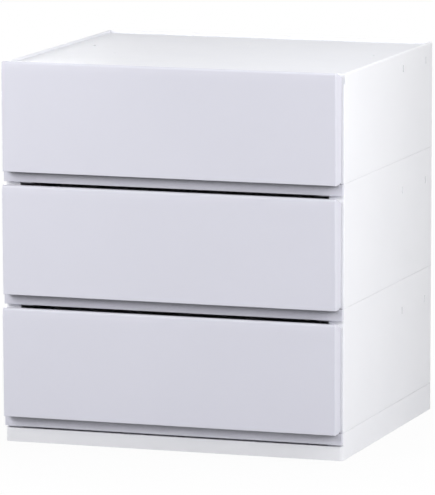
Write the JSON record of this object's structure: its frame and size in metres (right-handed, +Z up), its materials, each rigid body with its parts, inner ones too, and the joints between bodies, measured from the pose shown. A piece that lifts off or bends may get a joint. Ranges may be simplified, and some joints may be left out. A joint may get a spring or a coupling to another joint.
{
  "type": "drawer storage chest",
  "caption": "Low white plastic chest of stacked frames with proud pull-out drawers, finger pockets under each front and a rimmed flat top.",
  "frame": {"origin": "on the floor under the middle of the whole chest, fronts included", "axes": "+Z up, -Y out of the drawer fronts, +X to the right of someone facing the fronts"},
  "size_m": [0.45, 0.42, 0.4914],
  "materials": {
    "case_plastic": "fine satin moulded white",
    "panel_plastic": "fine grained moulded white",
    "front_plastic": "smooth pale lavender white",
    "box_plastic": "natural white moulded",
    "runner_plastic": "smooth natural white",
    "clip_plastic": "natural moulded",
    "foot_rubber": "soft dull grey"
  },
  "bodies": {
    "case": {"base_frame": "case_plastic", "lower_frame": "case_plastic", "upper_frame": "case_plastic", "top_frame": "case_plastic", "top_panel": "panel_plastic", "base_feet": "foot_rubber", "seam_clips_lower": "clip_plastic", "seam_clips_middle": "clip_plastic", "seam_clips_upper": "clip_plastic", "runner_left_bottom": "runner_plastic", "runner_right_bottom": "runner_plastic", "runner_left_middle": "runner_plastic", "runner_right_middle": "runner_plastic", "runner_left_top": "runner_plastic", "runner_right_top": "runner_plastic"},
    "drawer_bottom": {"drawer_box_bottom": "box_plastic", "drawer_front_bottom": "front_plastic"},
    "drawer_middle": {"drawer_box_middle": "box_plastic", "drawer_front_middle": "front_plastic"},
    "drawer_top": {"drawer_box_top": "box_plastic", "drawer_front_top": "front_plastic"}
  },
  "joints": [
    {"name": "drawer_slide_bottom", "type": "slide", "parent": "case", "child": "drawer_bottom", "axis": [0, -1, 0], "range_m": [0, 0.29]},
    {"name": "drawer_slide_middle", "type": "slide", "parent": "case", "child": "drawer_middle", "axis": [0, -1, 0], "range_m": [0, 0.29]},
    {"name": "drawer_slide_top", "type": "slide", "parent": "case", "child": "drawer_top", "axis": [0, -1, 0], "range_m": [0, 0.29]}
  ]
}
